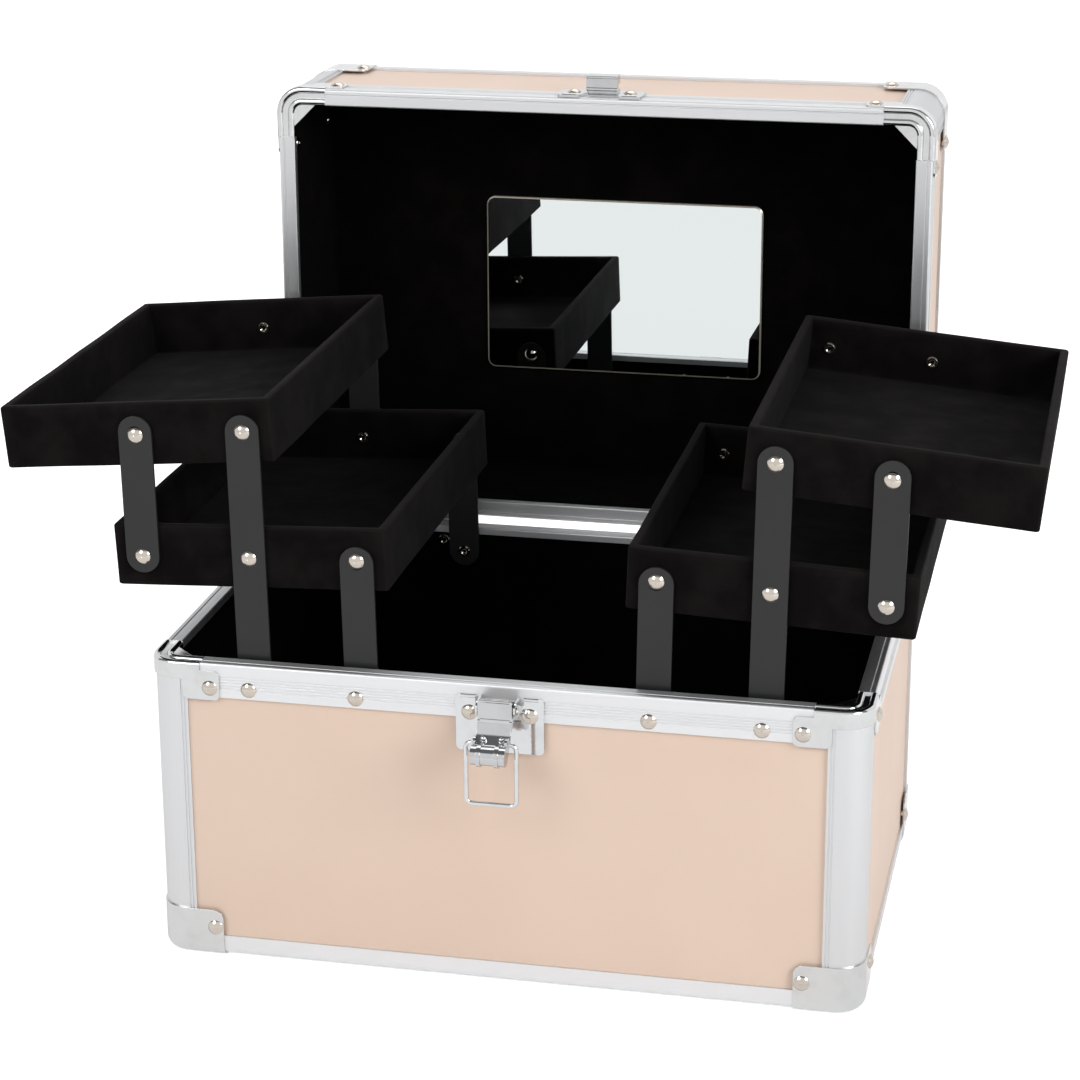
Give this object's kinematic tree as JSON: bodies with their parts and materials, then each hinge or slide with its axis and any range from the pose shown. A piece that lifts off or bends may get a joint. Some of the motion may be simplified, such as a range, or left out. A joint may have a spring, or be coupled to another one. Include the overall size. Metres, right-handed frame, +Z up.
{
  "type": "vanity case with mirror and cantilever trays",
  "caption": "Make-up case in pale laminate with an aluminium frame, a mirror in the open lid and black cantilever trays on riveted arms.",
  "frame": {"origin": "centre of the footprint, on the surface the box stands on", "axes": "+X to the right seen from the front, +Y to the back, +Z up"},
  "size_m": [0.5126, 0.3822, 0.4145],
  "materials": {
    "laminate": "pale pink beige decorative laminate on board, satin",
    "frame_aluminium": "satin anodised extrusion with fine grooves",
    "polished_steel": "polished plated sheet steel and wire",
    "nickel": "domed nickel-plated rivets and pins",
    "hinge_steel": "zinc-plated sheet steel",
    "black_steel": "black-grey satin lacquer on flat steel",
    "velvet": "black flocked velvet on board",
    "grip_plastic": "moulded black grip",
    "mirror": "silvered glass with a seamed edge"
  },
  "bodies": {
    "root": {"base_bottom_panel": "laminate", "base_front_panel": "laminate", "base_back_panel": "laminate", "base_left_panel": "laminate", "base_right_panel": "laminate", "base_lining": "velvet", "base_corner_posts": "frame_aluminium", "base_edge_rails": "frame_aluminium", "base_rim_rails": "frame_aluminium", "base_rim_corners": "polished_steel", "base_corner_caps": "polished_steel", "base_rivets": "nickel", "rim_pivot_rivets": "nickel", "latch_plate": "polished_steel", "latch_rivets": "nickel", "latch_pin": "nickel", "hinge_base_leaves": "hinge_steel", "hinge_pins": "nickel"},
    "lid": {"hinge_lid_leaves": "hinge_steel", "lid_top_panel": "laminate", "lid_front_panel": "laminate", "lid_back_panel": "laminate", "lid_left_panel": "laminate", "lid_right_panel": "laminate", "lid_lining": "velvet", "lid_corner_posts": "frame_aluminium", "lid_edge_rails": "frame_aluminium", "lid_rim_rails": "frame_aluminium", "lid_rim_corners": "polished_steel", "lid_corner_caps": "polished_steel", "lid_rivets": "nickel", "lid_strike": "polished_steel", "mirror_glass": "mirror", "handle_brackets": "polished_steel"},
    "handle": {"handle_rod": "polished_steel", "handle_grip": "grip_plastic"},
    "latch_lever": {"latch_lever": "polished_steel"},
    "latch_bail": {"latch_bail": "polished_steel"},
    "arms_left": {"long_arms_left": "black_steel"},
    "lower_tray_left": {"lower_tray_left": "velvet", "lower_tray_rivets_left": "nickel"},
    "upper_tray_left": {"upper_tray_left": "velvet", "upper_tray_rivets_left": "nickel"},
    "lower_links_left": {"lower_links_left": "black_steel"},
    "upper_links_left": {"upper_links_left": "black_steel"},
    "arms_right": {"long_arms_right": "black_steel"},
    "lower_tray_right": {"lower_tray_right": "velvet", "lower_tray_rivets_right": "nickel"},
    "upper_tray_right": {"upper_tray_right": "velvet", "upper_tray_rivets_right": "nickel"},
    "lower_links_right": {"lower_links_right": "black_steel"},
    "upper_links_right": {"upper_links_right": "black_steel"}
  },
  "joints": [
    {"name": "fold_left", "type": "hinge", "parent": "root", "child": "arms_left", "pos_m": [-0.12812, 0, 0.148], "axis": [0, 1, 0], "range_deg": [0, 59]},
    {"name": "lower_tray_tilt_left", "type": "hinge", "parent": "arms_left", "child": "lower_tray_left", "pos_m": [-0.12926, 0, 0.21299], "axis": [0, -1, 0], "range_deg": [0, 56.51]},
    {"name": "upper_tray_tilt_left", "type": "hinge", "parent": "arms_left", "child": "upper_tray_left", "pos_m": [-0.13039, 0, 0.27798], "axis": [0, -1, 0], "range_deg": [0, 54.01]},
    {"name": "lower_link_swing_left", "type": "hinge", "parent": "root", "child": "lower_links_left", "pos_m": [-0.07312, 0, 0.148], "axis": [0, 1, 0], "range_deg": [0, 59.01]},
    {"name": "upper_link_swing_left", "type": "hinge", "parent": "lower_tray_left", "child": "upper_links_left", "pos_m": [-0.18421, 0, 0.21059], "axis": [0, 1, 0], "range_deg": [0, 56.51]},
    {"name": "fold_right", "type": "hinge", "parent": "root", "child": "arms_right", "pos_m": [0.12812, 0, 0.148], "axis": [0, -1, 0], "range_deg": [0, 59]},
    {"name": "lower_tray_tilt_right", "type": "hinge", "parent": "arms_right", "child": "lower_tray_right", "pos_m": [0.12926, 0, 0.21299], "axis": [0, 1, 0], "range_deg": [0, 56.51]},
    {"name": "upper_tray_tilt_right", "type": "hinge", "parent": "arms_right", "child": "upper_tray_right", "pos_m": [0.13039, 0, 0.27798], "axis": [0, 1, 0], "range_deg": [0, 54.01]},
    {"name": "lower_link_swing_right", "type": "hinge", "parent": "root", "child": "lower_links_right", "pos_m": [0.07312, 0, 0.148], "axis": [0, -1, 0], "range_deg": [0, 59.01]},
    {"name": "upper_link_swing_right", "type": "hinge", "parent": "lower_tray_right", "child": "upper_links_right", "pos_m": [0.18421, 0, 0.21059], "axis": [0, -1, 0], "range_deg": [0, 56.51]},
    {"name": "lid_hinge", "type": "hinge", "parent": "root", "child": "lid", "pos_m": [0, 0.1225, 0.1613], "axis": [1, 0, 0], "range_deg": [0, 5.5]},
    {"name": "handle_swing", "type": "hinge", "parent": "lid", "child": "handle", "pos_m": [0, 0.22157, 0.28294], "axis": [1, 0, 0], "range_deg": [-1.5, 175]},
    {"name": "latch_lever_hinge", "type": "hinge", "parent": "root", "child": "latch_lever", "pos_m": [0, -0.1275, 0.1515], "axis": [-1, 0, 0], "range_deg": [0, 85]},
    {"name": "bail_swing", "type": "hinge", "parent": "latch_lever", "child": "latch_bail", "pos_m": [0, -0.1405, 0.139], "axis": [-1, 0, 0], "range_deg": [-12, 95]}
  ],
  "couplings": [
    {"joint": "lower_tray_tilt_left", "follows": "fold_left", "ratio": 0.95763},
    {"joint": "upper_tray_tilt_left", "follows": "fold_left", "ratio": 0.91525},
    {"joint": "lower_link_swing_left", "follows": "fold_left", "ratio": 1},
    {"joint": "upper_link_swing_left", "follows": "fold_left", "ratio": 0.95763},
    {"joint": "lower_tray_tilt_right", "follows": "fold_right", "ratio": 0.95763},
    {"joint": "upper_tray_tilt_right", "follows": "fold_right", "ratio": 0.91525},
    {"joint": "lower_link_swing_right", "follows": "fold_right", "ratio": 1},
    {"joint": "upper_link_swing_right", "follows": "fold_right", "ratio": 0.95763}
  ]
}
